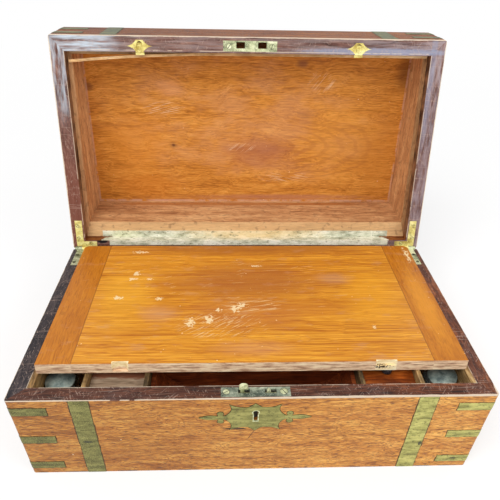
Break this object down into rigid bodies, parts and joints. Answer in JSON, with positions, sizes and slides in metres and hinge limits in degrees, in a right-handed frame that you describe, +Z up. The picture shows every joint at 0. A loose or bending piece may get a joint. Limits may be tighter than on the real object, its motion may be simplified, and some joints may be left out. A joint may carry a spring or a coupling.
{
  "type": "writing box",
  "caption": "Brass-bound wooden writing box, opened on a slope, with a hinged lid, writing flap, lock, inkwells and pen tray.",
  "frame": {"origin": "centre of the base's underside", "axes": "+X to the right as seen from the lock side, +Y towards the hinges, +Z up"},
  "size_m": [0.4576, 0.3906, 0.3451],
  "materials": {
    "mahogany": "old french polish, worn satin",
    "rosewood": "dark veneer facing, scratched satin",
    "deal": "plain underside, dull",
    "lining_wood": "unpolished, matt",
    "tray_wood": "stained dark, matt",
    "red_wood": "polished satin",
    "ebonised_wood": "black gloss",
    "pale_wood": "raw, matt",
    "flap_wood": "golden satin polish, scratched",
    "clamp_wood": "reddish satin polish",
    "brass": "old brass, dull bright",
    "brass_patina": "brass gone olive green",
    "lock_iron": "dull iron",
    "pewter": "dull grey pewter",
    "glass": "clear bottle glass"
  },
  "bodies": {
    "base": {"base_bottom": "deal", "base_corners": "brass_patina", "base_lining_back": "lining_wood", "base_lining_left": "lining_wood", "base_lining_right": "lining_wood", "base_rim_back": "rosewood", "base_rim_front": "rosewood", "base_rim_left": "rosewood", "base_rim_right": "rosewood", "base_straps": "brass_patina", "base_wall_back": "mahogany", "base_wall_front": "mahogany", "base_wall_left": "mahogany", "base_wall_right": "mahogany", "escutcheon": "brass_patina", "hinge_base_left": "brass_patina", "hinge_base_right": "brass_patina", "inkwell_cap_left": "pewter", "inkwell_cap_right": "pewter", "inkwell_left": "glass", "inkwell_right": "glass", "keyhole_liner": "brass", "lock_case": "lock_iron", "lock_plate": "brass_patina", "partition_inner_left": "lining_wood", "partition_inner_right": "lining_wood", "partition_outer_left": "lining_wood", "partition_outer_right": "lining_wood", "pen_tray": "tray_wood", "small_lid_knob": "ebonised_wood", "small_lid_left": "tray_wood", "small_lid_right": "red_wood", "tray_back_wall": "lining_wood", "tray_floor": "lining_wood"},
    "lid": {"catch_plates": "brass", "hinge_lid_left": "brass", "hinge_lid_right": "brass", "lid_corners": "brass_patina", "lid_lining_back": "lining_wood", "lid_lining_front": "lining_wood", "lid_lining_left": "lining_wood", "lid_lining_right": "lining_wood", "lid_loose_strip": "pale_wood", "lid_rim_back": "rosewood", "lid_rim_front": "rosewood", "lid_rim_left": "rosewood", "lid_rim_right": "rosewood", "lid_straps": "brass_patina", "lid_strike_plate": "brass_patina", "lid_top": "mahogany", "lid_wall_back": "mahogany", "lid_wall_front": "mahogany", "lid_wall_left": "mahogany", "lid_wall_right": "mahogany"},
    "writing_flap": {"flap_panel": "flap_wood", "flap_clamp_left": "clamp_wood", "flap_clamp_right": "clamp_wood"},
    "lock_bolt": {"lock_bolt": "brass"},
    "catch_left": {"catch_tongue_left": "brass"},
    "catch_right": {"catch_tongue_right": "brass"}
  },
  "joints": [
    {"name": "lid_hinge", "type": "hinge", "parent": "base", "child": "lid", "pos_m": [0, 0.1304, 0.092], "axis": [-1, 0, 0], "range_deg": [-98.6, 81.4]},
    {"name": "flap_hinge", "type": "hinge", "parent": "base", "child": "writing_flap", "pos_m": [0, 0.1176, 0.09363], "axis": [-1, 0, 0], "range_deg": [0, 75]},
    {"name": "lock_bolt_slide", "type": "slide", "parent": "base", "child": "lock_bolt", "axis": [1, 0, 0], "range_m": [0, 0.003]},
    {"name": "catch_left_slide", "type": "slide", "parent": "lid", "child": "catch_left", "axis": [0, 0.2619, 0.9651], "range_m": [0, 0.0032]},
    {"name": "catch_right_slide", "type": "slide", "parent": "lid", "child": "catch_right", "axis": [0, 0.2619, 0.9651], "range_m": [0, 0.0032]}
  ]
}
